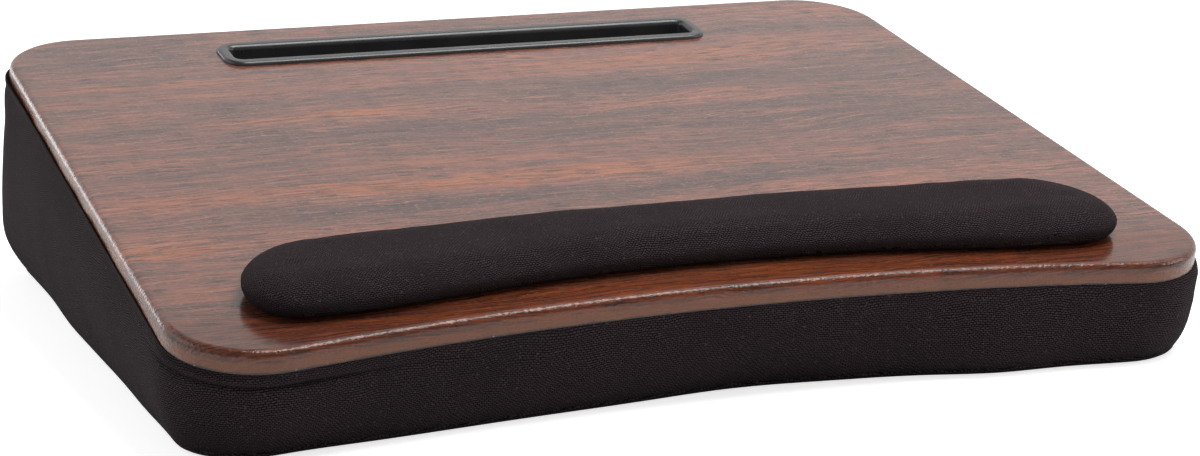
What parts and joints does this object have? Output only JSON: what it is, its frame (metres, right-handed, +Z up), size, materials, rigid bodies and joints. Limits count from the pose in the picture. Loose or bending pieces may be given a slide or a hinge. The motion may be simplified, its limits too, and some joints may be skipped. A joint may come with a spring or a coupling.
{
  "type": "cushioned lap desk",
  "caption": "Sloping lap desk: woodgrain board with a recessed media slot and a padded wrist rest, on a wedge-shaped foam cushion in a fabric cover.",
  "frame": {"origin": "on the floor under the middle of the lap desk: bottom centre of its box", "axes": "+X to the user's right along the width, +Y away from the user, up the board's slope, +Z up"},
  "size_m": [0.5158, 0.4204, 0.124],
  "materials": {
    "fibreboard": "raw medium-density fibreboard",
    "woodgrain": "satin printed woodgrain film",
    "backing": "plain sealing foil",
    "tray_plastic": "satin moulded black plastic",
    "adhesive_tape": "double-sided foam tape",
    "plate_plastic": "stiff plastic sheet",
    "rest_foam": "soft foam",
    "rest_fabric": "fine woven fabric",
    "staple_wire": "bright wire",
    "hardboard": "hardboard",
    "wedge_foam": "firm foam",
    "memory_foam": "memory foam",
    "cushion_fabric": "fine woven fabric"
  },
  "bodies": {
    "root": {"board_core": "fibreboard", "woodgrain_film": "woodgrain", "backing_sheet": "backing", "slot_tray": "tray_plastic", "wrist_rest_tape": "adhesive_tape", "wrist_rest_plate": "plate_plastic", "wrist_rest_foam": "rest_foam", "wrist_rest_cover": "rest_fabric", "cover_staples": "staple_wire", "mounting_plate": "hardboard", "mounting_strips": "adhesive_tape", "support_wedge": "wedge_foam", "memory_layer": "memory_foam", "cover_side_band": "cushion_fabric", "cover_bottom_panel": "cushion_fabric"}
  },
  "joints": []
}
